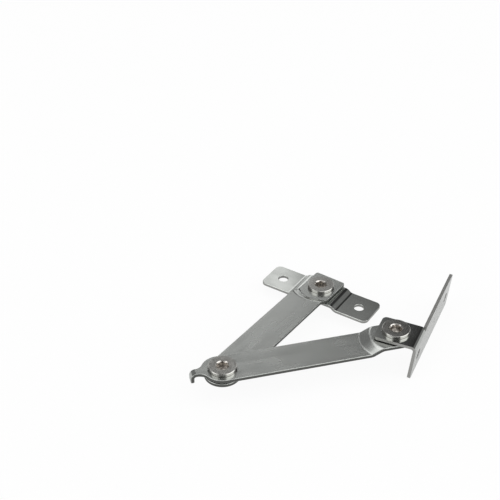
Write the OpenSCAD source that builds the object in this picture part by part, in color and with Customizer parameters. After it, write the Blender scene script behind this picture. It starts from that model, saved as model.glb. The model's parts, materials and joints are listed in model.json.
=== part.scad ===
// Friction stay for a projecting window: two bent arms that fold over each other,
// a bridge bracket for the frame and an angle bracket for the sash, joined by
// three pivots whose drag is set with a socket screw and a disc spring.
// The origin is on the frame pivot's axis, in the face that lies on the frame.

/* [Frame bracket] */
// Length of the bracket over both tabs
frame_length = 60.5; // [56:0.5:80]
// Width of the bracket
frame_width = 17.5; // [16:0.5:22]
// Thickness of the bracket's sheet
frame_sheet = 1.5; // [1.3:0.1:2]
// Radius of the tabs' corners
frame_corner = 2.8; // [1:0.1:4]
// Distance between the two screw holes
frame_hole_spacing = 44; // [41:0.5:48]
// Diameter of the screw holes
frame_hole_d = 5; // [4:0.1:6]
// Length of the bridge's flat top
bridge_flat = 19.2; // [17:0.2:21]
// Slope of the bridge's legs
leg_angle = 40; // [30:1:41]
// Inside radius of the bends in the legs
leg_bend_r = 2.5; // [1:0.1:2.6]
// Space left under the frame nut
ground_gap = 0.4; // [0.3:0.1:1]

/* [Arms] */
// Width of the strip that both arms are cut from
arm_width = 16.8; // [15.6:0.1:20]
// Thickness of that strip
arm_sheet = 1.75; // [1.5:0.05:2]
// Distance between the inner arm's two pivots
inner_reach = 82.5; // [75:0.5:110]
// Length of the inner arm's square end past the frame pivot
inner_end = 9.7; // [8:0.1:11]
// Radius of the square end's corners
inner_corner = 1.2; // [0.6:0.1:3]
// Height of the step near the frame pivot
inner_step = 2.5; // [2.2:0.1:3]
// Distance between the hook arm's two pivots
hook_reach = 82.5; // [75:0.5:110]
// Height of the step near the sash pivot
hook_step = 2.5; // [2.2:0.1:3]
// Radius round the frame pivot at which the inner arm's step starts
step_start_r = 16.4; // [15.5:0.1:19]
// Radius round the sash pivot at which the hook arm's step starts
hook_step_start_r = 17.1; // [15.5:0.1:19]
// Slope of a step
step_angle = 32; // [30:1:50]
// Inside radius of a step's bends
step_bend_r = 2; // [0.4:0.1:2.3]

/* [Hook] */
// Width of the neck
neck_width = 3.8; // [2.6:0.1:4]
// Shift of the neck off the arm's middle line
neck_shift = 0.7; // [0.2:0.1:2]
// Radius of the fillet between the neck and the arm's round end
neck_fillet = 5; // [3:0.5:5.5]
// How far the shoulder on the neck's other side lies past the pivot
shoulder_back = 1.3; // [0.4:0.1:1.6]
// How far that shoulder stands out over the arm's long edge
shoulder_side = 0.3; // [0:0.1:0.6]
// Radius of the fillet between the neck and the shoulder
shoulder_fillet = 4; // [2.5:0.5:4]
// Clear distance from the arm's round end to the hook
hook_gap = 4.65; // [4.2:0.05:6]
// Inside radius of the hook's bend
hook_bend_r = 1; // [0.6:0.1:1.2]
// How far the hook's tip reaches below the inner arm
hook_catch = 1; // [0.5:0.1:2]
// Radius of the hook tip's edges
hook_tip_r = 0.6; // [0.2:0.1:0.6]

/* [Sash bracket] */
// Width of the tab under the sash pivot
tab_width = 16.2; // [15.4:0.1:20]
// Length of the tab's free end past the pivot
tab_end = 8.5; // [7.6:0.1:11]
// Radius of the tab's free corners
tab_corner = 2.2; // [1:0.1:4]
// Thickness of the bracket's sheet
sash_sheet = 1.5; // [1.3:0.1:2]
// Distance from the pivot to the plate's outer face
plate_distance = 12.4; // [12.2:0.1:16]
// Length of the plate along the sash
plate_length = 63.2; // [52:0.2:90]
// Height of the plate
plate_height = 19.5; // [16:0.5:26]
// How far the fold is closed past a right angle
plate_lean = 4.7; // [0:0.1:8]
// Radius of the plate's corners
plate_corner = 1.8; // [1:0.1:4]
// Inside radius of the fold
fold_r = 1; // [0.6:0.1:1.2]
// Diameter of the plate's screw holes
sash_hole_d = 5; // [4:0.1:6]
// Distance of a hole's centre from the plate's end
sash_hole_inset = 8.1; // [6:0.1:11]

/* [Pivot screws] */
// Diameter of a screw's head
head_d = 13; // [12.4:0.1:13.4]
// Height of a screw's head
head_h = 1.5; // [1.2:0.1:2]
// Bevel of the head's upper edge
head_bevel = 0.25; // [0.1:0.05:0.4]
// Diameter of a screw's shank
shank_d = 7.9; // [7.4:0.1:8.1]
// Width of the hexagon socket across its flats
socket_width = 5; // [4:0.1:5.4]
// Diameter of the cone that opens the socket
socket_mouth_d = 6.3; // [6.3:0.1:7]
// Diameter of the recess for the disc spring
recess_d = 11; // [10.8:0.1:11.6]
// Depth of that recess
recess_depth = 0.35; // [0.25:0.05:0.5]
// Gap between the head's rim and the slip washer
rim_gap = 0.1; // [0.05:0.05:0.3]

/* [Pivot washers, bushes and nuts] */
// Radial clearance of a bush on the shank
run_clearance = 0.05; // [0.02:0.01:0.1]
// Radial clearance of the washers and springs round the shank
washer_clearance = 0.25; // [0.15:0.05:0.35]
// Outer diameter of a bush
bush_d = 9.6; // [9.4:0.1:10.4]
// Outer diameter of a slip washer
slip_washer_d = 13.8; // [13.5:0.1:14.6]
// Thickness of a slip washer
slip_washer_t = 0.25; // [0.15:0.05:0.5]
// Outer diameter of a disc spring
disc_spring_d = 10.6; // [10:0.1:10.7]
// Thickness of a disc spring
disc_spring_t = 0.25; // [0.15:0.05:0.25]
// Outer diameter of a friction washer
friction_washer_d = 14; // [13:0.1:15]
// Thickness of the frame pivot's friction washer
frame_washer_t = 0.35; // [0.2:0.05:0.8]
// Thickness of the elbow pivot's friction washer
elbow_washer_t = 0.5; // [0.3:0.05:0.8]
// Thickness of the sash pivot's friction washer
sash_washer_t = 0.5; // [0.3:0.05:0.8]
// Diameter of a nut's flange
nut_flange_d = 12; // [11:0.1:13]
// Thickness of a nut's flange
nut_flange_t = 1.3; // [1.2:0.1:1.8]
// Diameter of the collar that fills the lower sheet's hole
nut_collar_d = 9.6; // [9.2:0.1:10.4]

/* [Pose] */
// Direction of the inner arm, counted from the bracket's right tab
inner_direction = -92.6; // [-140:0.1:-50]
// Opening of the elbow between the two arms
elbow_opening = 39.6; // [30:0.1:100]
// Turn of the sash bracket against the hook arm
sash_turn = -39; // [-80:0.1:-5]

/* [Hidden] */
$fn = 96;

steel = [0.72, 0.73, 0.73];
dark_steel = [0.36, 0.37, 0.38];
spring_steel = [0.52, 0.53, 0.54];
brass = [0.78, 0.64, 0.34];
nylon = [0.16, 0.16, 0.17];

// Overlap that joins two pieces of one solid, and extra length of a cutter
lap = 0.5;
margin = 1;

// Largest turn of one facet of a bend or fillet
bend_facet = 4;

// How deep a fillet's end dips into the round that it runs out on
fillet_dip = 0.02;

// Directions of the arms and the sash bracket, and places of the pivots
hook_direction = inner_direction + 180 - elbow_opening;
sash_direction = hook_direction + sash_turn;
elbow_place = inner_reach * [cos(inner_direction), sin(inner_direction)];
sash_place = elbow_place + hook_reach * [cos(hook_direction), sin(hook_direction)];

// Undersides of the sheets, from the frame upwards
bridge_z = ground_gap + nut_flange_t;
inner_end_z = bridge_z + frame_sheet + frame_washer_t;
inner_z = inner_end_z + inner_step;
hook_z = inner_z + arm_sheet + elbow_washer_t;
hook_end_z = hook_z + hook_step;
tab_z = hook_end_z + arm_sheet + sash_washer_t;
tab_top = tab_z + sash_sheet;

// Radii of a screw's shank and of the bores round it
shank_r = shank_d / 2;
bush_bore_r = shank_r + run_clearance;
washer_bore_r = shank_r + washer_clearance;

// Length that a slope between two levels takes up along the sheet
function slope_run(rise, angle, bend_r, sheet) =
    let (middle_r = bend_r + sheet / 2)
    (rise - 2 * middle_r * (1 - cos(angle))) / sin(angle);

// Horizontal length of a whole step, both bends and the slope between them
function step_length(rise, angle, bend_r, sheet) =
    2 * (bend_r + sheet / 2) * sin(angle)
    + slope_run(rise, angle, bend_r, sheet) * cos(angle);

// Direction square to a heading, on its left
function left_of(heading) = [-sin(heading), cos(heading)];

// Points along one side of a bent strip, at an offset to the left of its middle line.
// Each leg is [length of the straight run, angle of the bend after it, inside radius].
function strip_side(legs, sheet, offset, first = 0, start = [0, 0], heading = 0) =
    let (
        run = legs[first][0],
        angle = legs[first][1],
        middle_r = legs[first][2] + sheet / 2,
        side = sign(angle),
        end = start + run * [cos(heading), sin(heading)],
        centre = end + side * middle_r * left_of(heading),
        facets = ceil(abs(angle) / bend_facet)
    )
    first == len(legs) - 1
        ? [start + offset * left_of(heading), end + offset * left_of(heading)]
        : concat(
            [start + offset * left_of(heading)],
            [
                for (k = [0 : facets - 1])
                    centre - (side * middle_r - offset) * left_of(heading + angle * k / facets)
            ],
            strip_side(
                legs, sheet, offset, first + 1,
                centre - side * middle_r * left_of(heading + angle), heading + angle
            )
        );

// A bent sheet seen on its edge, with its middle line starting at the origin along +X
module bent_strip(legs, sheet) {
    right_side = strip_side(legs, sheet, -sheet / 2);
    left_side = strip_side(legs, sheet, sheet / 2);
    polygon(concat(
        right_side,
        [for (k = [len(left_side) - 1 : -1 : 0]) left_side[k]]
    ));
}

// Rectangle from one corner to the opposite one, with round corners
module round_rectangle(low, high, corner_r) {
    corners = [
        [low.x + corner_r, low.y + corner_r], [high.x - corner_r, low.y + corner_r],
        [low.x + corner_r, high.y - corner_r], [high.x - corner_r, high.y - corner_r]
    ];
    translate([low.x + corner_r, low.y])
        square([high.x - low.x - 2 * corner_r, high.y - low.y]);
    translate([low.x, low.y + corner_r])
        square([high.x - low.x, high.y - low.y - 2 * corner_r]);
    for (place = corners)
        translate(place)
            circle(corner_r);
}

// Hole for a nut's collar or a bush through a sheet whose underside is at z
module round_hole(z, sheet, diameter) {
    translate([0, 0, z - margin])
        cylinder(h = sheet + 2 * margin, d = diameter);
}

module frame_bracket() {
    rise = bridge_z;
    slope = slope_run(rise, leg_angle, leg_bend_r, frame_sheet);
    leg_length = step_length(rise, leg_angle, leg_bend_r, frame_sheet);
    tab_run = frame_length / 2 - bridge_flat / 2 - leg_length;
    half_width = frame_width / 2;
    legs = [
        [tab_run, leg_angle, leg_bend_r],
        [slope, -leg_angle, leg_bend_r],
        [bridge_flat, -leg_angle, leg_bend_r],
        [slope, leg_angle, leg_bend_r],
        [tab_run, 0, 0]
    ];
    color(steel)
        difference() {
            intersection() {
                translate([-frame_length / 2, half_width, frame_sheet / 2])
                    rotate([90, 0, 0])
                        linear_extrude(frame_width)
                            bent_strip(legs, frame_sheet);
                translate([0, 0, -margin])
                    linear_extrude(rise + frame_sheet + 2 * margin)
                        round_rectangle(
                            [-frame_length / 2, -half_width],
                            [frame_length / 2, half_width],
                            frame_corner
                        );
            }
            for (side = [-1, 1])
                translate([side * frame_hole_spacing / 2, 0, 0])
                    round_hole(0, frame_sheet, frame_hole_d);
            round_hole(bridge_z, frame_sheet, nut_collar_d);
        }
}

// Sheet of revolution round a pivot: level by the pivot, then a step of the given
// rise outwards. It starts at the pivot's hole, at the height of the level inside it.
module stepped_sheet(hole_d, rise, start_r, reach) {
    height = abs(rise);
    slope = slope_run(height, step_angle, step_bend_r, arm_sheet);
    level_r = start_r - step_length(height, step_angle, step_bend_r, arm_sheet);
    turn = sign(rise) * step_angle;
    rotate_extrude()
        translate([hole_d / 2, arm_sheet / 2])
            bent_strip(
                [
                    [level_r - hole_d / 2, turn, step_bend_r],
                    [slope, -turn, step_bend_r],
                    [reach - start_r, 0, 0]
                ],
                arm_sheet
            );
}

// Inner arm's outline from the frame pivot at the origin to the elbow along +X
module inner_run_outline() {
    half_width = arm_width / 2;
    translate([0, -half_width])
        square([inner_reach, arm_width]);
    translate([inner_reach, 0])
        circle(half_width);
}

// Inner arm's square end, behind the frame pivot
module inner_end_outline() {
    half_width = arm_width / 2;
    intersection() {
        round_rectangle([-inner_end, -half_width], [inner_end, half_width], inner_corner);
        translate([-inner_end - margin, -arm_width])
            square([inner_end + margin + lap, 2 * arm_width]);
    }
}

module inner_arm() {
    reach = inner_reach + arm_width;
    color(steel)
        rotate(inner_direction)
            difference() {
                union() {
                    intersection() {
                        translate([0, 0, inner_end_z])
                            stepped_sheet(shank_d, inner_step, step_start_r, reach);
                        translate([0, 0, inner_end_z - margin])
                            linear_extrude(inner_step + arm_sheet + 2 * margin)
                                inner_run_outline();
                    }
                    translate([0, 0, inner_end_z])
                        linear_extrude(arm_sheet)
                            inner_end_outline();
                }
                round_hole(inner_end_z, arm_sheet, bush_d);
                translate([inner_reach, 0, 0])
                    round_hole(inner_z, arm_sheet, nut_collar_d);
            }
}

// Fillet between a round end and one side of the neck, which lies at a height above
// the middle of the round end. Its last point dips into the round end.
module neck_fillet_web(end_r, height, fillet_r) {
    centre = [-sqrt(pow(end_r + fillet_r, 2) - pow(height + fillet_r, 2)), height + fillet_r];
    sweep = 90 - atan(centre.y / -centre.x);
    facets = ceil(sweep / bend_facet);
    polygon(concat(
        [[0, 0], [centre.x, height - lap]],
        [
            for (k = [0 : facets - 1])
                centre + fillet_r * [sin(sweep * k / facets), -cos(sweep * k / facets)]
        ],
        [centre * (end_r - fillet_dip) / (end_r + fillet_r)]
    ));
}

// Fuller half of the round end, with its fillet to the neck
module hook_shoulder(end_r) {
    intersection() {
        translate([-shoulder_back, shoulder_side])
            circle(end_r);
        translate([-2 * end_r, 0])
            square([3 * end_r, 2 * end_r]);
    }
    translate([-shoulder_back, shoulder_side])
        neck_fillet_web(end_r, neck_shift + neck_width / 2 - shoulder_side, shoulder_fillet);
}

// Hook arm's outline, with the elbow at the origin and the sash pivot along +X
module hook_outline(neck_end) {
    end_r = arm_width / 2;
    intersection() {
        union() {
            circle(end_r);
            translate([0, -end_r])
                square([hook_reach, arm_width]);
            translate([hook_reach, 0])
                circle(end_r);
            translate([-neck_end, neck_shift - neck_width / 2])
                square([neck_end, neck_width]);
            hook_shoulder(end_r);
            mirror([0, 1])
                neck_fillet_web(end_r, neck_width / 2 - neck_shift, neck_fillet);
        }
        translate([-neck_end, -arm_width])
            square([neck_end + hook_reach + arm_width, 2 * arm_width]);
    }
}

// Hook seen on its edge: the bend off the neck and the leg with its round tip.
// The arm's middle plane is at y = 0 and the neck ends at x = 0.
module hook_profile(drop_run) {
    turn_r = hook_bend_r + arm_sheet / 2;
    translate([-lap, 0])
        bent_strip([[lap, -90, hook_bend_r], [drop_run - hook_tip_r, 0, 0]], arm_sheet);
    translate([turn_r - arm_sheet / 2, -turn_r - drop_run])
        round_rectangle([0, 0], [arm_sheet, 3 * hook_tip_r], hook_tip_r);
}

module hook_arm() {
    neck_end = arm_width / 2 + hook_gap - hook_bend_r;
    reach = hook_reach + neck_end + arm_width;
    drop = hook_z + arm_sheet - (inner_z - hook_catch);
    drop_run = drop - hook_bend_r - arm_sheet;
    color(steel)
        translate([elbow_place.x, elbow_place.y, 0])
            rotate(hook_direction) {
                difference() {
                    intersection() {
                        translate([hook_reach, 0, hook_end_z])
                            stepped_sheet(nut_collar_d, -hook_step, hook_step_start_r, reach);
                        translate([0, 0, hook_z - margin])
                            linear_extrude(hook_step + arm_sheet + 2 * margin)
                                hook_outline(neck_end);
                    }
                    round_hole(hook_z, arm_sheet, bush_d);
                }
                translate([-neck_end, neck_shift - neck_width / 2, hook_z + arm_sheet / 2])
                    rotate([90, 0, 180])
                        linear_extrude(neck_width)
                            hook_profile(drop_run);
            }
}

// Sash bracket's plate seen from outside, with its upper edge along y = 0 and a
// notch where the fold to the tab takes its place
module plate_outline(depth, set_back) {
    near = -tab_width / 2;
    far = near + plate_length;
    difference() {
        round_rectangle([near, -depth], [far, 0], plate_corner);
        translate([near - margin, -set_back])
            square([tab_width + margin, set_back + margin]);
        for (along = [near + sash_hole_inset, far - sash_hole_inset])
            translate([along, -depth / 2])
                circle(d = sash_hole_d);
    }
}

// What is cut off the tab's free end, past its round corners
module tab_waste() {
    half_width = tab_width / 2;
    difference() {
        translate([-tab_end - 2 * margin, -half_width - margin])
            square([tab_corner + 2 * margin, tab_width + 2 * margin]);
        round_rectangle([-tab_end, -half_width], [0, half_width], tab_corner);
    }
}

module sash_bracket() {
    turn = 90 + plate_lean;
    set_back = (fold_r + sash_sheet) * tan(turn / 2);
    depth = plate_height / cos(plate_lean);
    tab_run = tab_end + plate_distance - set_back + margin;
    color(steel)
        translate([sash_place.x, sash_place.y, 0])
            rotate(sash_direction)
                difference() {
                    translate([plate_distance, 0, tab_top])
                        rotate([0, plate_lean, 0]) {
                            translate([-sash_sheet, 0, 0])
                                rotate([90, 0, 90])
                                    linear_extrude(sash_sheet)
                                        plate_outline(depth, set_back);
                            translate([-sash_sheet / 2, tab_width / 2, -set_back - lap])
                                rotate([90, 0, 0])
                                    linear_extrude(tab_width)
                                        rotate(90)
                                            bent_strip(
                                                [[lap, turn, fold_r], [tab_run, 0, 0]],
                                                sash_sheet
                                            );
                        }
                    round_hole(tab_z, sash_sheet, bush_d);
                    translate([0, 0, tab_z - margin])
                        linear_extrude(sash_sheet + 2 * margin)
                            tab_waste();
                }
}

// Hexagon socket through a screw whose head's top is at z = 0
module socket(depth) {
    corner_d = socket_width / cos(30);
    translate([0, 0, -depth - margin])
        cylinder(h = depth + 2 * margin, d = corner_d, $fn = 6);
    translate([0, 0, -socket_mouth_d / 2])
        cylinder(
            h = socket_mouth_d / 2 + margin,
            d1 = 0,
            d2 = socket_mouth_d + 2 * margin
        );
}

// Screw with its wide head over the upper sheet's top at z = 0
module pivot_screw(length, socket_turn) {
    rim_z = slip_washer_t + rim_gap;
    recess_z = rim_z + recess_depth;
    top_z = rim_z + head_h;
    head_r = head_d / 2;
    color(dark_steel)
        difference() {
            rotate_extrude()
                polygon([
                    [0, -length],
                    [shank_r - head_bevel, -length],
                    [shank_r, head_bevel - length],
                    [shank_r, recess_z],
                    [recess_d / 2, recess_z],
                    [recess_d / 2, rim_z],
                    [head_r, rim_z],
                    [head_r, top_z - head_bevel],
                    [head_r - head_bevel, top_z],
                    [0, top_z]
                ]);
            translate([0, 0, top_z])
                rotate(socket_turn)
                    socket(top_z + length);
        }
}

// Flat ring from z = 0 upwards
module ring(outer_d, inner_r, height) {
    difference() {
        cylinder(h = height, d = outer_d);
        round_hole(0, height, 2 * inner_r);
    }
}

// Dished ring that fills the head's recess down to the slip washer
module disc_spring() {
    height = rim_gap + recess_depth;
    color(spring_steel)
        translate([0, 0, slip_washer_t])
            rotate_extrude()
                polygon([
                    [washer_bore_r, height - disc_spring_t],
                    [disc_spring_d / 2, 0],
                    [disc_spring_d / 2, disc_spring_t],
                    [washer_bore_r, height]
                ]);
}

module slip_washer() {
    color(steel)
        ring(slip_washer_d, washer_bore_r, slip_washer_t);
}

module bush(sheet) {
    color(brass)
        translate([0, 0, -sheet])
            ring(bush_d, bush_bore_r, sheet);
}

module friction_washer(sheet, thickness) {
    color(nylon)
        translate([0, 0, -sheet - thickness])
            ring(friction_washer_d, washer_bore_r, thickness);
}

// Nut with a flange under the lower sheet and a collar that fills its hole.
// The collar's top is at z = 0.
module collar_nut(sheet) {
    color(dark_steel)
        difference() {
            union() {
                translate([0, 0, -sheet - nut_flange_t])
                    cylinder(h = nut_flange_t, d = nut_flange_d);
                translate([0, 0, -sheet - lap])
                    cylinder(h = sheet + lap, d = nut_collar_d);
            }
            round_hole(-sheet - nut_flange_t, sheet + nut_flange_t, 2 * bush_bore_r);
        }
}

// Puts a pivot's piece on its axis, with z = 0 at the top of the given sheet
module at_frame_pivot(top) {
    translate([0, 0, top])
        children();
}

module at_elbow_pivot(top) {
    translate([elbow_place.x, elbow_place.y, top])
        children();
}

module at_sash_pivot(top) {
    translate([sash_place.x, sash_place.y, top])
        children();
}

// Tops of the upper and lower sheet at each pivot
frame_upper_top = inner_end_z + arm_sheet;
frame_lower_top = bridge_z + frame_sheet;
elbow_upper_top = hook_z + arm_sheet;
elbow_lower_top = inner_z + arm_sheet;
sash_upper_top = tab_top;
sash_lower_top = hook_end_z + arm_sheet;

// Turns of the three sockets, as they were left when the drag was set
frame_socket_turn = 4;
elbow_socket_turn = 6;
sash_socket_turn = 30;

// Length of a screw under its upper sheet's top, down to the nut's underside
function screw_length(upper_top, lower_top, lower_sheet) =
    upper_top - lower_top + lower_sheet + nut_flange_t;

module frame_screw() {
    at_frame_pivot(frame_upper_top)
        pivot_screw(
            screw_length(frame_upper_top, frame_lower_top, frame_sheet),
            frame_socket_turn
        );
}

module frame_disc_spring() {
    at_frame_pivot(frame_upper_top)
        disc_spring();
}

module frame_slip_washer() {
    at_frame_pivot(frame_upper_top)
        slip_washer();
}

module frame_bush() {
    at_frame_pivot(frame_upper_top)
        bush(arm_sheet);
}

module frame_friction_washer() {
    at_frame_pivot(frame_upper_top)
        friction_washer(arm_sheet, frame_washer_t);
}

module frame_nut() {
    at_frame_pivot(frame_lower_top)
        collar_nut(frame_sheet);
}

module elbow_screw() {
    at_elbow_pivot(elbow_upper_top)
        pivot_screw(
            screw_length(elbow_upper_top, elbow_lower_top, arm_sheet),
            elbow_socket_turn
        );
}

module elbow_disc_spring() {
    at_elbow_pivot(elbow_upper_top)
        disc_spring();
}

module elbow_slip_washer() {
    at_elbow_pivot(elbow_upper_top)
        slip_washer();
}

module elbow_bush() {
    at_elbow_pivot(elbow_upper_top)
        bush(arm_sheet);
}

module elbow_friction_washer() {
    at_elbow_pivot(elbow_upper_top)
        friction_washer(arm_sheet, elbow_washer_t);
}

module elbow_nut() {
    at_elbow_pivot(elbow_lower_top)
        collar_nut(arm_sheet);
}

module sash_screw() {
    at_sash_pivot(sash_upper_top)
        pivot_screw(
            screw_length(sash_upper_top, sash_lower_top, arm_sheet),
            sash_socket_turn
        );
}

module sash_disc_spring() {
    at_sash_pivot(sash_upper_top)
        disc_spring();
}

module sash_slip_washer() {
    at_sash_pivot(sash_upper_top)
        slip_washer();
}

module sash_bush() {
    at_sash_pivot(sash_upper_top)
        bush(sash_sheet);
}

module sash_friction_washer() {
    at_sash_pivot(sash_upper_top)
        friction_washer(sash_sheet, sash_washer_t);
}

module sash_nut() {
    at_sash_pivot(sash_lower_top)
        collar_nut(arm_sheet);
}

frame_bracket();
inner_arm();
hook_arm();
sash_bracket();
frame_screw();
frame_disc_spring();
frame_slip_washer();
frame_bush();
frame_friction_washer();
frame_nut();
elbow_screw();
elbow_disc_spring();
elbow_slip_washer();
elbow_bush();
elbow_friction_washer();
elbow_nut();
sash_screw();
sash_disc_spring();
sash_slip_washer();
sash_bush();
sash_friction_washer();
sash_nut();
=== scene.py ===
"""Dresses a friction stay: rolled sheet arms and brackets, pivot hardware, and a white studio stage."""

import json
import math

import bmesh
import bpy
from bpy.props import FloatProperty, FloatVectorProperty, PointerProperty
from mathutils import Euler, Matrix, Vector
from mathutils.bvhtree import BVHTree

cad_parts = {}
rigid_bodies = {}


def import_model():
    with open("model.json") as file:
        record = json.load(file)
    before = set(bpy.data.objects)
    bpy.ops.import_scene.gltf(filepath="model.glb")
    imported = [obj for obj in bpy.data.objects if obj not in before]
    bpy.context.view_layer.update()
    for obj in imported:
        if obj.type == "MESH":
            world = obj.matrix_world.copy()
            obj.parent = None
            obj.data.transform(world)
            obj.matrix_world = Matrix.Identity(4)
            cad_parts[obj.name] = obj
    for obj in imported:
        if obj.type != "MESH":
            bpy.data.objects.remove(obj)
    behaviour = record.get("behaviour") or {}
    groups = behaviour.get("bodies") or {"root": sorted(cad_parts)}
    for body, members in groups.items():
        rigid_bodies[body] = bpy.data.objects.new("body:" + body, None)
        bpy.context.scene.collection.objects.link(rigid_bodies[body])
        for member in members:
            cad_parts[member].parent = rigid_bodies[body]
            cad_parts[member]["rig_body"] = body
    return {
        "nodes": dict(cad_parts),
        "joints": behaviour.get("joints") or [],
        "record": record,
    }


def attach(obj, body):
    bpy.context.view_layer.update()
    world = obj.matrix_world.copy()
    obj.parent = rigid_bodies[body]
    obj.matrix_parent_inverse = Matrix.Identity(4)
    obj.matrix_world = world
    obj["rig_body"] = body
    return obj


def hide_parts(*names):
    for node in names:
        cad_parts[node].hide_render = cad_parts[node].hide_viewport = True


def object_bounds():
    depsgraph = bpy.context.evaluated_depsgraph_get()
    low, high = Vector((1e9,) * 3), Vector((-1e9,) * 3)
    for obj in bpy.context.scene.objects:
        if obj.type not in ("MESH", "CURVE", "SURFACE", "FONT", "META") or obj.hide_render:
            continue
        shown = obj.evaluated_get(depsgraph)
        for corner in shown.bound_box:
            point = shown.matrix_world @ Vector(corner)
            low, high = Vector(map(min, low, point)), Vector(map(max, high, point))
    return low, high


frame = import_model()
CAD_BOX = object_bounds()

bl_info = {
    "name": "Friction Stay Finishes",
    "version": (1, 0, 0),
    "blender": (4, 5, 0),
    "location": "View3D > Sidebar > Stay",
    "description": "Finishes and stage for a folding friction stay of stainless sheet",
    "category": "Object",
}

MM = 0.001

# Corners closer than this are one corner, and faces that turn less than this are one face.
SAME_CORNER = 0.0005 * MM
SAME_PLANE = math.radians(0.4)
# Edges that turn more than this are cut or pressed edges. The facets of a bend turn less.
SHARP_EDGE = math.radians(26)
# A face is the rolled skin of the sheet if the metal behind it is as thick as the sheet, within this share.
SKIN_TOLERANCE = 0.2
# The ray that measures that starts this far behind the face.
RAY_START = 0.01 * MM
# Facets across the round of an edge
ROUND_SEGMENTS = 3

# Material slots of a sheet piece
SKIN, CUT, ROUNDED = range(3)
# Material slots of a screw, and the radii inside which its faces belong to the socket and to its mouth
TURNED, BROACHED, MOUTH = range(3)
SOCKET_RADIUS = 2.95 * MM
MOUTH_RADIUS = 3.4 * MM

PIVOTS = {joint["name"].split("_")[0]: Vector(joint["pos_m"]) for joint in frame["joints"]}
MOUNTS = {mount["name"]: Vector(mount["pos_m"]) for mount in frame["record"]["mounts"]}


def heading(start, end):
    """The angle about Z of the line from start to end, from +X."""
    line = end - start
    return math.atan2(line.y, line.x)


# Which way the rolling grain runs in each sheet: along the strip that it was cut from
GRAIN_HEADINGS = {
    "frame_bracket": 0.0,
    "inner_arm": heading(PIVOTS["frame"], PIVOTS["elbow"]),
    "hook_arm": heading(PIVOTS["elbow"], PIVOTS["sash"]),
    "sash_bracket": heading(MOUNTS["sash_screw_near"], MOUNTS["sash_screw_far"]),
}


def colour(name, description, value):
    """A base colour setting, in scene-linear numbers."""
    return FloatVectorProperty(
        name=name, description=description, subtype="COLOR", size=3, min=0, max=1, default=value
    )


def length(name, description, value):
    """A size setting, in metres."""
    return FloatProperty(name=name, description=description, unit="LENGTH", min=0, precision=5, default=value)


def share(name, description, value):
    """A setting from 0 to 1."""
    return FloatProperty(name=name, description=description, subtype="FACTOR", min=0, max=1, default=value)


def angle(name, description, degrees):
    """An angle setting, given in degrees and held in radians."""
    return FloatProperty(
        name=name, description=description, subtype="ANGLE", unit="ROTATION", default=math.radians(degrees)
    )


class SheetSettings(bpy.types.PropertyGroup):
    """The stainless sheet of the arms and brackets."""

    skin: colour("Skin", "Rolled face of the sheet", (0.572, 0.588, 0.566))
    bracket_cut: colour("Bracket's cut edge", "Sheared edge of the brackets", (0.42, 0.42, 0.405))
    # The arms' cut edge, far darker than the brackets', is painted shade for the shadowed ground it mirrors.
    arm_cut: colour("Arm's cut edge", "Sheared edge of the arms", (0.13, 0.132, 0.125))
    bracket_thickness: length("Bracket sheet", "Thickness of both brackets", 1.5 * MM)
    arm_thickness: length("Arm sheet", "Thickness of both arms", 1.75 * MM)
    bracket_round: length("Bracket's edge round", "Width of the round on the brackets' edges", 0.25 * MM)
    arm_round: length("Arm's edge round", "Width of the round on the arms' edges", 0.38 * MM)
    # The arms' rounds are darker than their skin: painted shade that dims the highlight along their edges.
    bracket_round_shade: share("Bracket's round shade", "Shade of the brackets' rounds beside the skin", 1.0)
    arm_round_shade: share("Arm's round shade", "Shade of the arms' rounds beside the skin", 0.75)
    bracket_smoothest: share("Bracket's smoothest", "Roughness of the brackets where they are cleanest", 0.08)
    bracket_roughest: share("Bracket's roughest", "Roughness of the brackets where they are dullest", 0.15)
    arm_smoothest: share("Arm's smoothest", "Roughness of the arms where they are cleanest", 0.2)
    arm_roughest: share("Arm's roughest", "Roughness of the arms where they are dullest", 0.3)
    grain_width: length("Grain width", "Spacing of the rolling grain across the strip", 0.35 * MM)
    grain_length: length("Grain length", "Run of one grain line along the strip", 9 * MM)
    grain_depth: length("Grain depth", "Height of the rolling grain", 0.001 * MM)


class HardwareSettings(bpy.types.PropertyGroup):
    """The screws, springs, washers, bushes and nuts of the three pivots."""

    screw: colour("Screw", "Turned screw", (0.53, 0.525, 0.5))
    # The mouth's colour, brighter than the screw's, is a painted highlight for the glints on its countersink.
    mouth: colour("Socket mouth", "Bright countersunk mouth of the socket", (0.6, 0.59, 0.57))
    spring: colour("Disc spring", "Hardened spring steel", (0.3, 0.29, 0.28))
    washer: colour("Slip washer", "Bright thin washer", (0.6, 0.6, 0.58))
    nut: colour("Nut", "Turned collar nut", (0.52, 0.52, 0.5))
    bronze: colour("Bush", "Sintered bronze", (0.55, 0.34, 0.14))
    nylon: colour("Friction washer", "Black nylon", (0.02, 0.02, 0.022))
    # The socket's dark brown is painted shade and painted reflection inside the hole.
    socket: colour("Socket", "Broached inside of the socket, with old grease", (0.44, 0.41, 0.375))
    edge_round: length("Edge round", "Width of the round on turned edges", 0.12 * MM)
    ring_width: length("Ring width", "Spacing of the turning marks", 0.16 * MM)


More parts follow.
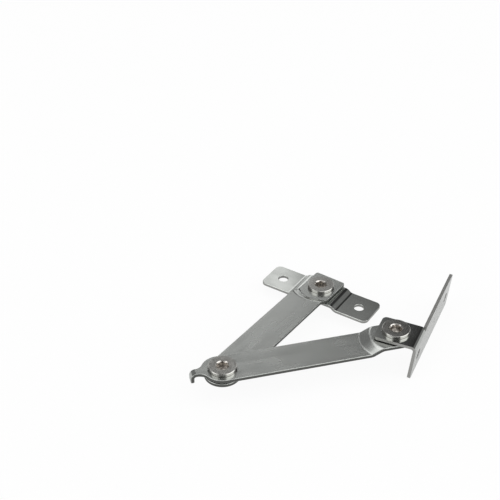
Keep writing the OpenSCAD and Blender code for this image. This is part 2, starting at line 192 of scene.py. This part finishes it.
class StageSettings(bpy.types.PropertyGroup):
    """The camera, the lamps and the white ground."""

    camera_place: FloatVectorProperty(
        name="Camera place",
        description="Where the camera stands",
        subtype="TRANSLATION",
        unit="LENGTH",
        size=3,
        default=(191.59 * MM, -362.895 * MM, 312.829 * MM),
    )
    camera_azimuth: angle("Azimuth", "Camera heading, clockwise from +Y seen from above", -32.835)
    camera_drop: angle("Drop", "How far the camera looks down", 34.899)
    camera_roll: angle("Roll", "Turn of the camera about its own axis", 0.306)
    lens: FloatProperty(name="Lens", description="Focal length in millimetres", min=1, default=72.975)
    sensor: FloatProperty(name="Sensor", description="Sensor width in millimetres", min=1, default=36)
    ground: colour("Ground", "White ground sheet", (0.9, 0.9, 0.9))
    ground_size: length("Ground size", "Side of the ground sheet", 4)
    shadow: share("Shadow", "How much of the shadow on the ground the camera sees", 0.07)
    mirrored_glow: share("Mirrored glow", "How much of the ground in the metal is plain white", 0.6)
    mirrored_level: share("Mirrored level", "How bright that plain white is", 0.63)
    key_power: FloatProperty(
        name="Key power", description="Watts of the overhead softbox", min=0, default=4.5
    )
    key_size: length("Key size", "Side of the overhead softbox", 1.2)
    key_height: length("Key height", "Height of the overhead softbox", 0.9)


def settings(name):
    """A group of the stay's settings in the open scene."""
    return getattr(bpy.context.scene, "stay_" + name)


def sheet_setting(piece, name):
    """A setting of the brackets' or the arms' sheet, whichever the piece is made of."""
    family = "bracket" if piece.endswith("bracket") else "arm"
    return getattr(settings("sheet"), f"{family}_{name}")


# A Mix node names the sockets of all its kinds alike, so those for colours are reached by their place.
MIX_FACTOR, MIX_FIRST_COLOUR, MIX_SECOND_COLOUR = 0, 6, 7
MIX_COLOUR_OUT = 2

# The part of a noise's range that is stretched over a whole mask
NOISE_SPAN = (0.3, 0.7)
BAND_SPAN = (0.32, 0.68)
PATCH_SPAN = (0.36, 0.7)
# How many times longer, wider and deeper a band of the rolled skin is than a grain line
BAND_SPREAD = (4.0, 9.0, 4.0)
# Hair scratches: their slant, the stretch of their cells and their width as a share of a cell
SCRATCH_SLANT = 0.9
SCRATCH_STRETCH = (0.35, 1.6, 1.0)
SCRATCH_WIDTH = 0.02

# The skin: share of the fine lines in its grain, share of the patches in its dullness, and what patches tint
LINE_SHARE = 0.55
PATCH_SHARE = 0.5
PATCH_SHADE = 0.8
PATCH_TINT = 0.25
# Turned steel: share of the rings in its wear, and the painted shade that thins out from the socket's mouth
RING_SHARE = 0.6
MOUTH_SHADE_SHARE = 0.25
MOUTH_SHADE_RADIUS = 1.5 * MOUTH_RADIUS
# How much duller than the sheet at its smoothest its tumbled edge is, at least and at most
TUMBLED_DULLING = (0.04, 0.14)
# A bronze pore is open up to this share of its cell
PORE_OPENING = 0.3

# Sizes of the grain of each texture, across and through where the two differ
DRAG_SIZE = (0.16 * MM, 0.16 * MM, 2.5 * MM)
PORE_SIZE = 0.12 * MM
MOULD_SIZE = 0.2 * MM
PAPER_SIZE = 3 * MM
# Sizes of the dull patches and of the hair scratches in each finish
MARK_SIZES = {
    "skin": (12 * MM, 6 * MM),
    "tumbled edge": (1.6 * MM, 0.8 * MM),
    "turned": (3 * MM, 2 * MM),
    "socket": (1.2 * MM, 0.7 * MM),
}
# Shades of each finish's base colour, where its mask is 0 and where it is 1
SHADES = {
    "skin": (0.94, 1.05),
    "cut edge": (0.7, 1.3),
    "tumbled edge": (1.1, 0.9),
    "turned": (0.9, 1.08),
    "socket": (0.6, 1.9),
    "bronze": (1.0, 0.35),
    "nylon": (0.7, 1.6),
    "ground": (0.99, 1.01),
}
# Roughness of each finish, where its mask is 0 and where it is 1
ROUGHNESS = {
    "cut edge": (0.38, 0.55),
    "screw": (0.16, 0.26),
    "mouth": (0.12, 0.22),
    "nut": (0.22, 0.36),
    "spring": (0.3, 0.42),
    "washer": (0.14, 0.24),
    "socket": (0.42, 0.24),
    "bronze": (0.32, 0.6),
    "nylon": (0.42, 0.58),
}
# Relief of each finish. Scratches go inwards.
RELIEF = {
    "cut edge": 0.006 * MM,
    "tumbled edge": -0.003 * MM,
    "turned": 0.0015 * MM,
    "socket": -0.004 * MM,
    "bronze": 0.02 * MM,
    "nylon": 0.01 * MM,
}


def add_node(tree, kind, inputs=None, **values):
    """Adds a node. An input is a number, a colour, a vector or the output that it is linked from."""
    made = tree.nodes.new(kind)
    for name, value in values.items():
        setattr(made, name, value)
    for key, value in (inputs or {}).items():
        if isinstance(value, bpy.types.NodeSocket):
            tree.links.new(value, made.inputs[key])
        else:
            made.inputs[key].default_value = value
    return made


def calculate(tree, operation, *values):
    """Adds a Math node and gives its output."""
    return add_node(tree, "ShaderNodeMath", dict(enumerate(values)), operation=operation).outputs[0]


def calculate_vector(tree, operation, *values):
    """Adds a Vector Math node and gives its vector output."""
    return add_node(tree, "ShaderNodeVectorMath", dict(enumerate(values)), operation=operation).outputs[0]


def counted_in(tree, place, size):
    """A place counted in steps of a size. The size is a number, one number for each axis, or an output."""
    steps = (size,) * 3 if isinstance(size, float) else size
    return calculate_vector(tree, "DIVIDE", place, steps)


def turn(tree, vector, turn_angle):
    """Turns a vector about Z."""
    inputs = {"Vector": vector, "Angle": turn_angle}
    return add_node(tree, "ShaderNodeVectorRotate", inputs, rotation_type="Z_AXIS").outputs[0]


def noise(tree, place, detail, roughness=0.5, distortion=0.0):
    """Adds a noise with one blot to each step of the place and gives its value."""
    character = {"Detail": detail, "Roughness": roughness, "Distortion": distortion}
    return add_node(tree, "ShaderNodeTexNoise", {"Vector": place, "Scale": 1.0, **character}).outputs[0]


def map_range(tree, value, low, high, to_low, to_high, kind="LINEAR"):
    """Adds a clamped Map Range node and gives its output."""
    inputs = {"Value": value, "From Min": low, "From Max": high, "To Min": to_low, "To Max": to_high}
    return add_node(tree, "ShaderNodeMapRange", inputs, interpolation_type=kind).outputs[0]


def weigh(tree, first, second, first_share):
    """Adds up two masks, the first by its share and the second by the rest."""
    rest = calculate(tree, "MULTIPLY", second, 1 - first_share)
    return calculate(tree, "MULTIPLY_ADD", first, first_share, rest)


def tint(tree, factor, low, high):
    """Adds a colour mix and gives its output. Each of the two is a base colour or an output."""
    first, second = (end if isinstance(end, bpy.types.NodeSocket) else (*end, 1) for end in (low, high))
    inputs = {MIX_FACTOR: factor, MIX_FIRST_COLOUR: first, MIX_SECOND_COLOUR: second}
    return add_node(tree, "ShaderNodeMix", inputs, data_type="RGBA").outputs[MIX_COLOUR_OUT]


def shade(base, factor):
    """A base colour made lighter or darker."""
    return tuple(min(1.0, part * factor) for part in base)


def masked_shade(tree, mask, base, finish):
    """A base colour that the mask takes from the first to the second of the finish's shades."""
    first, second = SHADES[finish]
    return tint(tree, mask, shade(base, first), shade(base, second))


def new_group(name, inputs, outputs):
    """Starts a shader node group. Inputs are (name, kind, default) and outputs are names of floats."""
    group = bpy.data.node_groups.new(name, "ShaderNodeTree")
    for title, kind, default in inputs:
        made = group.interface.new_socket(title, in_out="INPUT", socket_type="NodeSocket" + kind)
        if default is not None:
            made.default_value = default
    for title in outputs:
        group.interface.new_socket(title, in_out="OUTPUT", socket_type="NodeSocketFloat")
    return group, group.nodes.new("NodeGroupInput").outputs, group.nodes.new("NodeGroupOutput").inputs


def rolling_grain_group(name):
    """Long fine lines along a strip, and the broad bands that the rolls leave between them."""
    inputs = (
        ("Vector", "Vector", None),
        ("Heading", "Float", 0.0),
        ("Width", "Float", 0.2 * MM),
        ("Length", "Float", 10 * MM),
    )
    group, given, out = new_group(name, inputs, ("Lines", "Bands"))
    along = turn(group, given["Vector"], calculate(group, "MULTIPLY", given["Heading"], -1.0))
    line_sides = {"X": given["Length"], "Y": given["Width"], "Z": given["Length"]}
    line_size = add_node(group, "ShaderNodeCombineXYZ", line_sides).outputs[0]
    lines = noise(group, counted_in(group, along, line_size), detail=3.0, roughness=0.6)
    band_size = calculate_vector(group, "MULTIPLY", line_size, BAND_SPREAD)
    bands = noise(group, counted_in(group, along, band_size), detail=2.0)
    group.links.new(map_range(group, lines, *NOISE_SPAN, 0.0, 1.0), out["Lines"])
    group.links.new(map_range(group, bands, *BAND_SPAN, 0.0, 1.0), out["Bands"])
    return group


def handling_group(name):
    """Dull patches where the part was held, and a few hair scratches."""
    inputs = (
        ("Vector", "Vector", None),
        ("Patch Size", "Float", 12 * MM),
        ("Scratch Size", "Float", 6 * MM),
    )
    group, given, out = new_group(name, inputs, ("Patches", "Scratches"))
    patch_place = counted_in(group, given["Vector"], given["Patch Size"])
    patches = noise(group, patch_place, detail=1.5, distortion=0.3)
    group.links.new(map_range(group, patches, *PATCH_SPAN, 0.0, 1.0, "SMOOTHSTEP"), out["Patches"])
    slanted = turn(group, counted_in(group, given["Vector"], given["Scratch Size"]), SCRATCH_SLANT)
    cells = {"Vector": calculate_vector(group, "MULTIPLY", slanted, SCRATCH_STRETCH), "Scale": 1.0}
    edges = add_node(group, "ShaderNodeTexVoronoi", cells, feature="DISTANCE_TO_EDGE").outputs["Distance"]
    group.links.new(map_range(group, edges, 0.0, SCRATCH_WIDTH, 1.0, 0.0), out["Scratches"])
    return group


def turning_group(name):
    """Rings round a pivot, as a lathe tool or a die leaves them."""
    inputs = (("Vector", "Vector", None), ("Centre", "Vector", None), ("Width", "Float", 0.2 * MM))
    group, given, out = new_group(name, inputs, ("Rings", "Radius"))
    from_centre = calculate_vector(group, "SUBTRACT", given["Vector"], given["Centre"])
    across = calculate_vector(group, "MULTIPLY", from_centre, (1.0, 1.0, 0.0))
    radius = add_node(group, "ShaderNodeVectorMath", {0: across}, operation="LENGTH").outputs["Value"]
    steps = {"W": calculate(group, "DIVIDE", radius, given["Width"]), "Scale": 1.0, "Detail": 2.0}
    rings = add_node(group, "ShaderNodeTexNoise", steps, noise_dimensions="1D").outputs[0]
    group.links.new(map_range(group, rings, *NOISE_SPAN, 0.0, 1.0), out["Rings"])
    group.links.new(radius, out["Radius"])
    return group


def soft_card_group(name):
    """A soft-edged rectangle of sky, by heading and height, in degrees. Heading 0 is behind the object."""
    inputs = [(title, "Float", 0.0) for title in ("Heading", "Height", *CARD_INPUTS)]
    group, given, out = new_group(name, inputs, ("Mask",))
    sides = []
    for axis, half in (("Heading", "Half Width"), ("Height", "Half Height")):
        away = calculate(group, "ABSOLUTE", calculate(group, "SUBTRACT", given[axis], given["At " + axis]))
        inner = calculate(group, "SUBTRACT", given[half], given["Softness"])
        outer = calculate(group, "ADD", given[half], given["Softness"])
        sides.append(map_range(group, away, inner, outer, 1.0, 0.0, "SMOOTHSTEP"))
    group.links.new(calculate(group, "MULTIPLY", *sides), out["Mask"])
    return group


# The shared shader node groups and what builds each
GROUPS = {
    "Rolling grain": rolling_grain_group,
    "Handling marks": handling_group,
    "Turning rings": turning_group,
    "Soft card": soft_card_group,
}


def use_group(tree, name, inputs):
    """Places a shared group with its own values and gives its outputs. Its first use builds it."""
    group = bpy.data.node_groups.get(name) or GROUPS[name](name)
    return add_node(tree, "ShaderNodeGroup", inputs, node_tree=group).outputs


def handling_marks(tree, place, finish):
    """The masks of a finish's dull patches and hair scratches."""
    patch_size, scratch_size = MARK_SIZES[finish]
    inputs = {"Vector": place, "Patch Size": patch_size, "Scratch Size": scratch_size}
    return use_group(tree, "Handling marks", inputs)


def object_place(tree):
    """The surface point in the object's own metres, which ride with its body."""
    return tree.nodes.new("ShaderNodeTexCoord").outputs["Object"]


def finish_material(material, base, roughness, height, depth, metallic=1.0):
    """Links varying colour, roughness and relief to the material's one shader."""
    tree = material.node_tree
    shader = tree.nodes["Principled BSDF"]
    bump = add_node(tree, "ShaderNodeBump", {"Height": height, "Strength": 1.0, "Distance": depth})
    tree.links.new(base, shader.inputs["Base Color"])
    tree.links.new(roughness, shader.inputs["Roughness"])
    tree.links.new(bump.outputs[0], shader.inputs["Normal"])
    shader.inputs["Metallic"].default_value = metallic
    return material


def new_material(name):
    """An empty node material."""
    material = bpy.data.materials.new(name)
    material.use_nodes = True
    return material


def skin_material(piece):
    """Rolled stainless skin: grain along the strip, faint bands, handling patches."""
    sheet = settings("sheet")
    material = new_material(piece + " rolled skin")
    tree = material.node_tree
    place = object_place(tree)
    grain_inputs = {
        "Vector": place,
        "Heading": GRAIN_HEADINGS[piece],
        "Width": sheet.grain_width,
        "Length": sheet.grain_length,
    }
    grain = use_group(tree, "Rolling grain", grain_inputs)
    patches = handling_marks(tree, place, "skin")["Patches"]
    streak = weigh(tree, grain["Lines"], grain["Bands"], LINE_SHARE)
    base = masked_shade(tree, streak, sheet.skin, "skin")
    base = tint(tree, calculate(tree, "MULTIPLY", patches, PATCH_TINT), base, shade(sheet.skin, PATCH_SHADE))
    dull = weigh(tree, patches, grain["Bands"], PATCH_SHARE)
    smoothest, roughest = sheet_setting(piece, "smoothest"), sheet_setting(piece, "roughest")
    roughness = map_range(tree, dull, 0.0, 1.0, smoothest, roughest)
    return finish_material(material, base, roughness, grain["Lines"], sheet.grain_depth)


def cut_material(piece):
    """Sheared edge: dull, with short drag lines through the sheet's thickness."""
    material = new_material(piece + " cut edge")
    tree = material.node_tree
    drag = noise(tree, counted_in(tree, object_place(tree), DRAG_SIZE), detail=3.0)
    base = masked_shade(tree, drag, sheet_setting(piece, "cut"), "cut edge")
    roughness = map_range(tree, drag, *NOISE_SPAN, *ROUGHNESS["cut edge"])
    return finish_material(material, base, roughness, drag, RELIEF["cut edge"])


def rounded_material(piece):
    """Tumbled round on every edge: skin in a painted shade dimming its highlight, a little duller, small
    nicks.
    """
    # Painted shade: the skin's colour darkened by the piece's round shade.
    skin = shade(settings("sheet").skin, sheet_setting(piece, "round_shade"))
    least, most = (sheet_setting(piece, "smoothest") + dulling for dulling in TUMBLED_DULLING)
    material = new_material(piece + " tumbled edge")
    tree = material.node_tree
    marks = handling_marks(tree, object_place(tree), "tumbled edge")
    base = masked_shade(tree, marks["Patches"], skin, "tumbled edge")
    roughness = map_range(tree, marks["Patches"], 0.0, 1.0, least, most)
    return finish_material(material, base, roughness, marks["Scratches"], RELIEF["tumbled edge"])


def turned_material(name, base_colour, pivot, roughness_ends):
    """Turned steel with rings round its pivot, and painted shade that thins out from the socket's mouth."""
    hardware = settings("hardware")
    material = new_material(name)
    tree = material.node_tree
    place = object_place(tree)
    ring_inputs = {"Vector": place, "Centre": PIVOTS[pivot], "Width": hardware.ring_width}
    rings = use_group(tree, "Turning rings", ring_inputs)
    worn = weigh(tree, rings["Rings"], handling_marks(tree, place, "turned")["Patches"], RING_SHARE)
    base = masked_shade(tree, worn, base_colour, "turned")
    # Painted shade: the metal takes the socket's colour round the mouth of the hole.
    mouth_shade = map_range(tree, rings["Radius"], MOUTH_RADIUS, MOUTH_SHADE_RADIUS, MOUTH_SHADE_SHARE, 0.0, "SMOOTHSTEP")
    base = tint(tree, mouth_shade, base, hardware.socket)
    roughness = map_range(tree, worn, 0.0, 1.0, *roughness_ends)
    return finish_material(material, base, roughness, rings["Rings"], RELIEF["turned"])


def socket_material():
    """The socket's broached inside: a brown painted shade over steel, lighter in random patches."""
    material = new_material("greasy socket")
    tree = material.node_tree
    marks = handling_marks(tree, object_place(tree), "socket")
    base = masked_shade(tree, marks["Patches"], settings("hardware").socket, "socket")
    roughness = map_range(tree, marks["Patches"], 0.0, 1.0, *ROUGHNESS["socket"])
    return finish_material(material, base, roughness, marks["Scratches"], RELIEF["socket"])


def bronze_material():
    """Sintered bronze: open pores and a brown, oily tone."""
    material = new_material("sintered bronze")
    tree = material.node_tree
    cells = {"Vector": counted_in(tree, object_place(tree), PORE_SIZE), "Scale": 1.0}
    pores = add_node(tree, "ShaderNodeTexVoronoi", cells).outputs["Distance"]
    open_pore = map_range(tree, pores, 0.0, PORE_OPENING, 1.0, 0.0)
    base = masked_shade(tree, open_pore, settings("hardware").bronze, "bronze")
    roughness = map_range(tree, open_pore, 0.0, 1.0, *ROUGHNESS["bronze"])
    return finish_material(material, base, roughness, pores, RELIEF["bronze"])


def nylon_material():
    """Black nylon with a fine moulded texture."""
    material = new_material("black nylon")
    tree = material.node_tree
    mould = noise(tree, counted_in(tree, object_place(tree), MOULD_SIZE), detail=4.0)
    base = masked_shade(tree, mould, settings("hardware").nylon, "nylon")
    roughness = map_range(tree, mould, *NOISE_SPAN, *ROUGHNESS["nylon"])
    return finish_material(material, base, roughness, mould, RELIEF["nylon"], metallic=0.0)


def clean_shape(node):
    """A CAD node's own shape with its doubled corners merged and its flat triangles joined."""
    source = frame["nodes"][node].data
    shape = bmesh.new()
    corners = [shape.verts.new(vertex.co) for vertex in source.vertices]
    for polygon in source.polygons:
        shape.faces.new([corners[index] for index in polygon.vertices])
    bmesh.ops.remove_doubles(shape, verts=shape.verts, dist=SAME_CORNER)
    bmesh.ops.dissolve_limit(shape, angle_limit=SAME_PLANE, verts=shape.verts, edges=shape.edges)
    bmesh.ops.recalc_face_normals(shape, faces=shape.faces)
    open_edges = [edge for edge in shape.edges if not edge.is_manifold]
    if open_edges:
        raise RuntimeError(f"{node} has {len(open_edges)} open edges after its corners were merged")
    return shape


def mark_cut_edges(shape, thickness):
    """Gives each face its slot: the skin has one sheet of metal behind it, a cut edge has more."""
    tree = BVHTree.FromBMesh(shape)
    widest = {}
    for loops in shape.calc_loop_triangles():
        a, b, c = (loop.vert.co for loop in loops)
        area = (b - a).cross(c - a).length
        if area > widest.get(loops[0].face, (0.0, None))[0]:
            widest[loops[0].face] = (area, (a + b + c) / 3)
    for face, (_, middle) in widest.items():
        inward = -face.normal
        distance = tree.ray_cast(middle + inward * RAY_START, inward)[3]
        is_skin = distance is not None and abs(distance / thickness - 1) < SKIN_TOLERANCE
        face.material_index = SKIN if is_skin else CUT


def mark_socket(shape, centre):
    """Gives the faces close to the screw's axis the socket's slot, or its mouth's."""
    for face in shape.faces:
        reach = max(math.hypot(corner.co.x - centre.x, corner.co.y - centre.y) for corner in face.verts)
        if reach < SOCKET_RADIUS:
            face.material_index = BROACHED
        elif reach < MOUTH_RADIUS:
            face.material_index = MOUTH
        else:
            face.material_index = TURNED


def make_piece(node, name, shape, materials, edge_round, rounded_slot):
    """Makes the shape into a piece with rounded edges that stands for the CAD node and rides its body."""
    mesh = bpy.data.meshes.new(name)
    shape.to_mesh(mesh)
    shape.free()
    for material in materials:
        mesh.materials.append(material)
    mesh.shade_smooth()
    piece = bpy.data.objects.new(name, mesh)
    bpy.context.scene.collection.objects.link(piece)
    bevel = piece.modifiers.new("rounded edges", "BEVEL")
    bevel.width = edge_round
    bevel.segments = ROUND_SEGMENTS
    bevel.limit_method = "ANGLE"
    bevel.angle_limit = SHARP_EDGE
    bevel.harden_normals = True
    bevel.material = rounded_slot
    normals = piece.modifiers.new("flat faces stay flat", "WEIGHTED_NORMAL")
    normals.keep_sharp = True
    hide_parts(node)
    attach(piece, frame["nodes"][node]["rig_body"])


def dress_sheet(node):
    """Builds one sheet piece from its CAD node."""
    shape = clean_shape(node)
    mark_cut_edges(shape, sheet_setting(node, "thickness"))
    materials = (skin_material(node), cut_material(node), rounded_material(node))
    edge_round = sheet_setting(node, "round")
    make_piece(node, node + "_sheet", shape, materials, edge_round, ROUNDED)


def dress_screw(pivot, turned, socket, mouth):
    """Builds one screw from its CAD node, with its socket in a finish of its own."""
    node = pivot + "_screw"
    shape = clean_shape(node)
    mark_socket(shape, PIVOTS[pivot])
    edge_round = settings("hardware").edge_round
    make_piece(node, node + "_turned", shape, (turned, socket, mouth), edge_round, TURNED)


def dress_nut(pivot, turned):
    """Builds one collar nut from its CAD node."""
    node = pivot + "_nut"
    edge_round = settings("hardware").edge_round
    make_piece(node, node + "_turned", clean_shape(node), (turned,), edge_round, TURNED)


def paint_node(node, material):
    """Puts its material on a CAD node that keeps its own shape."""
    slots = frame["nodes"][node].data.materials
    slots.clear()
    slots.append(material)


class STAY_OT_brackets(bpy.types.Operator):
    """Finish the frame bracket and the sash bracket"""

    bl_idname = "stay.brackets"
    bl_label = "Brackets"

    def execute(self, context):
        dress_sheet("frame_bracket")
        dress_sheet("sash_bracket")
        return {"FINISHED"}


class STAY_OT_arms(bpy.types.Operator):
    """Finish the inner arm and the hook arm"""

    bl_idname = "stay.arms"
    bl_label = "Arms"

    def execute(self, context):
        dress_sheet("inner_arm")
        dress_sheet("hook_arm")
        return {"FINISHED"}


class STAY_OT_screws(bpy.types.Operator):
    """Finish the three pivot screws and their collar nuts"""

    bl_idname = "stay.screws"
    bl_label = "Screws and nuts"

    def execute(self, context):
        hardware = settings("hardware")
        socket = socket_material()
        for pivot in PIVOTS:
            turned = turned_material(pivot + " screw steel", hardware.screw, pivot, ROUGHNESS["screw"])
            mouth = turned_material(pivot + " socket mouth", hardware.mouth, pivot, ROUGHNESS["mouth"])
            nut = turned_material(pivot + " nut steel", hardware.nut, pivot, ROUGHNESS["nut"])
            dress_screw(pivot, turned, socket, mouth)
            dress_nut(pivot, nut)
        return {"FINISHED"}


class STAY_OT_washers(bpy.types.Operator):
    """Finish the disc springs, slip washers, friction washers and bushes"""

    bl_idname = "stay.washers"
    bl_label = "Washers, springs and bushes"

    def execute(self, context):
        hardware = settings("hardware")
        bronze, nylon = bronze_material(), nylon_material()
        for pivot in PIVOTS:
            spring = turned_material(pivot + " spring steel", hardware.spring, pivot, ROUGHNESS["spring"])
            washer = turned_material(pivot + " washer steel", hardware.washer, pivot, ROUGHNESS["washer"])
            paint_node(pivot + "_disc_spring", spring)
            paint_node(pivot + "_slip_washer", washer)
            paint_node(pivot + "_friction_washer", nylon)
            paint_node(pivot + "_bush", bronze)
        return {"FINISHED"}


WHITE = (1, 1, 1, 1)
GROUND_ROUGHNESS = 0.9
# Nearest and farthest distance that the camera draws, in metres
CAMERA_REACH = (0.01, 20)

# The studio round the object: its own level, and its soft cards as the inputs of their group and a level.
# Headings are clockwise from straight behind the object, and a later card covers an earlier one.
STUDIO_LEVEL = 0.336
CARD_INPUTS = ("At Heading", "At Height", "Half Width", "Half Height", "Softness")
STUDIO_CARDS = (
    (0.0, 90.0, 200.0, 28.0, 8.0, 0.56),  # ceiling
    (0.0, -10.0, 115.0, 32.0, 6.0, 0.8),  # pale band low behind the object and beside it
    (-26.0, 22.4, 29.8, 16.0, 0.7, 1.28),  # bright card behind, to the left
    (-44.0, 25.0, 34.0, 18.0, 3.0, 0.208),  # dim screen over its left part
    (-17.0, 50.0, 23.0, 12.0, 1.0, 0.112),  # dark screen above it
    (24.0, 50.0, 20.4, 12.0, 1.2, 0.368),  # grey card high behind, to the right
    (24.0, 28.0, 20.2, 10.0, 1.2, 0.192),  # dim card below that
    (30.0, 42.0, 20.4, 24.0, 1.6, 0.04),  # black screen over most of both
    (64.0, 34.0, 16.0, 24.0, 4.0, 0.208),  # dim screen to the right
    (-122.0, 24.0, 27.0, 18.0, 4.0, 2.0),  # window to the front left
    (112.0, 30.0, 35.0, 24.0, 4.0, 2.0),  # window to the front right
    (180.0, 30.0, 26.0, 34.0, 6.0, 0.096),  # dark room behind the camera, one half
    (-180.0, 30.0, 26.0, 34.0, 6.0, 0.096),  # and the other half
)


def build_studio_sky(world, azimuth):
    """Fills the world with the studio's walls and soft cards, which the camera itself sees as plain white."""
    world.use_nodes = True
    tree = world.node_tree
    tree.nodes.clear()
    direction = turn(tree, tree.nodes.new("ShaderNodeTexCoord").outputs["Generated"], azimuth)
    parts = add_node(tree, "ShaderNodeSeparateXYZ", {0: direction}).outputs
    sight = {
        "Heading": calculate(tree, "DEGREES", calculate(tree, "ARCTAN2", parts["X"], parts["Y"])),
        "Height": calculate(tree, "DEGREES", calculate(tree, "ARCSINE", parts["Z"])),
    }
    level = STUDIO_LEVEL
    for *card, card_level in STUDIO_CARDS:
        mask = use_group(tree, "Soft card", {**sight, **dict(zip(CARD_INPUTS, card))})["Mask"]
        level = map_range(tree, mask, 0.0, 1.0, level, card_level)
    rays = tree.nodes.new("ShaderNodeLightPath").outputs
    seen_level = map_range(tree, rays["Is Camera Ray"], 0.0, 1.0, level, 1.0)
    background = add_node(tree, "ShaderNodeBackground", {"Color": WHITE, "Strength": seen_level})
    add_node(tree, "ShaderNodeOutputWorld", {"Surface": background.outputs[0]})


def ground_material(stage):
    """White ground that the camera and the metal see as plain white, with a share of the shadow."""
    material = new_material("white ground")
    tree = material.node_tree
    shader = tree.nodes["Principled BSDF"]
    paper = noise(tree, counted_in(tree, object_place(tree), PAPER_SIZE), detail=3.0)
    tree.links.new(masked_shade(tree, paper, stage.ground, "ground"), shader.inputs["Base Color"])
    shader.inputs["Roughness"].default_value = GROUND_ROUGHNESS
    shader.inputs["Specular IOR Level"].default_value = 0.0
    rays = tree.nodes.new("ShaderNodeLightPath").outputs
    straight = calculate(tree, "MAXIMUM", rays["Is Camera Ray"], rays["Is Transmission Ray"])
    level = map_range(tree, straight, 0.0, 1.0, stage.mirrored_level, 1.0)
    glow = add_node(tree, "ShaderNodeEmission", {"Color": WHITE, "Strength": level})
    mirrored = calculate(tree, "MULTIPLY", rays["Is Glossy Ray"], stage.mirrored_glow)
    seen = calculate(tree, "MAXIMUM", calculate(tree, "MULTIPLY", straight, 1 - stage.shadow), mirrored)
    mixed = add_node(tree, "ShaderNodeMixShader", {0: seen, 1: shader.outputs[0], 2: glow.outputs[0]})
    tree.links.new(mixed.outputs[0], tree.nodes["Material Output"].inputs["Surface"])
    return material


def make_ground(stage):
    """A flat white sheet under the lowest point of the object."""
    half = stage.ground_size / 2
    lowest = CAD_BOX[0].z
    mesh = bpy.data.meshes.new("ground")
    corners = [(x * half, y * half, lowest) for x, y in ((-1, -1), (1, -1), (1, 1), (-1, 1))]
    mesh.from_pydata(corners, [], [(0, 1, 2, 3)])
    mesh.materials.append(ground_material(stage))
    ground = bpy.data.objects.new("ground", mesh)
    bpy.context.scene.collection.objects.link(ground)


def make_lamp(name, place, aim, size, power):
    """A square softbox that looks at a point."""
    light = bpy.data.lights.new(name, "AREA")
    light.shape = "SQUARE"
    light.size = size
    light.energy = power
    lamp = bpy.data.objects.new(name, light)
    lamp.location = place
    lamp.rotation_mode = "QUATERNION"
    lamp.rotation_quaternion = (aim - place).to_track_quat("-Z", "Y")
    bpy.context.scene.collection.objects.link(lamp)


def make_camera(stage):
    """The camera at its place, looking along its heading and drop."""
    data = bpy.data.cameras.new("camera")
    data.lens = stage.lens
    data.sensor_width = stage.sensor
    data.clip_start, data.clip_end = CAMERA_REACH
    camera = bpy.data.objects.new("camera", data)
    level = Euler((math.pi / 2 - stage.camera_drop, 0, -stage.camera_azimuth)).to_matrix()
    rolled = (level @ Matrix.Rotation(stage.camera_roll, 3, "Z")).to_4x4()
    camera.matrix_world = Matrix.Translation(stage.camera_place) @ rolled
    bpy.context.scene.collection.objects.link(camera)
    bpy.context.scene.camera = camera


class STAY_OT_stage(bpy.types.Operator):
    """Build the ground, the studio light and the camera"""

    bl_idname = "stay.stage"
    bl_label = "Stage"

    def execute(self, context):
        stage = settings("stage")
        scene = context.scene
        scene.view_settings.view_transform = "Standard"
        scene.world = bpy.data.worlds.new("studio")
        build_studio_sky(scene.world, stage.camera_azimuth)
        make_ground(stage)
        middle = (CAD_BOX[0] + CAD_BOX[1]) / 2
        overhead = middle + Vector((0, 0, stage.key_height))
        make_lamp("overhead softbox", overhead, middle, stage.key_size, stage.key_power)
        make_camera(stage)
        return {"FINISHED"}


OPERATORS = (STAY_OT_brackets, STAY_OT_arms, STAY_OT_screws, STAY_OT_washers, STAY_OT_stage)
SETTINGS = {"stay_sheet": SheetSettings, "stay_hardware": HardwareSettings, "stay_stage": StageSettings}


class VIEW3D_PT_stay(bpy.types.Panel):
    """Settings and steps of the friction stay"""

    bl_idname = "VIEW3D_PT_stay"
    bl_label = "Friction Stay"
    bl_space_type = "VIEW_3D"
    bl_region_type = "UI"
    bl_category = "Stay"

    def draw(self, context):
        for name, group in SETTINGS.items():
            box = self.layout.box()
            for key in group.__annotations__:
                box.prop(getattr(context.scene, name), key)
        for operator in OPERATORS:
            self.layout.operator(operator.bl_idname)


CLASSES = (*SETTINGS.values(), *OPERATORS, VIEW3D_PT_stay)


def register():
    """Registers the classes and hangs the settings on the scene."""
    for item in CLASSES:
        bpy.utils.register_class(item)
    for name, group in SETTINGS.items():
        setattr(bpy.types.Scene, name, PointerProperty(type=group))


def unregister():
    """Takes the settings and the classes away again."""
    for name in SETTINGS:
        delattr(bpy.types.Scene, name)
    for item in reversed(CLASSES):
        bpy.utils.unregister_class(item)


def main():
    """Runs every step in order."""
    register()
    bpy.ops.stay.brackets()
    bpy.ops.stay.arms()
    bpy.ops.stay.screws()
    bpy.ops.stay.washers()
    bpy.ops.stay.stage()


if __name__ == "__main__":
    main()
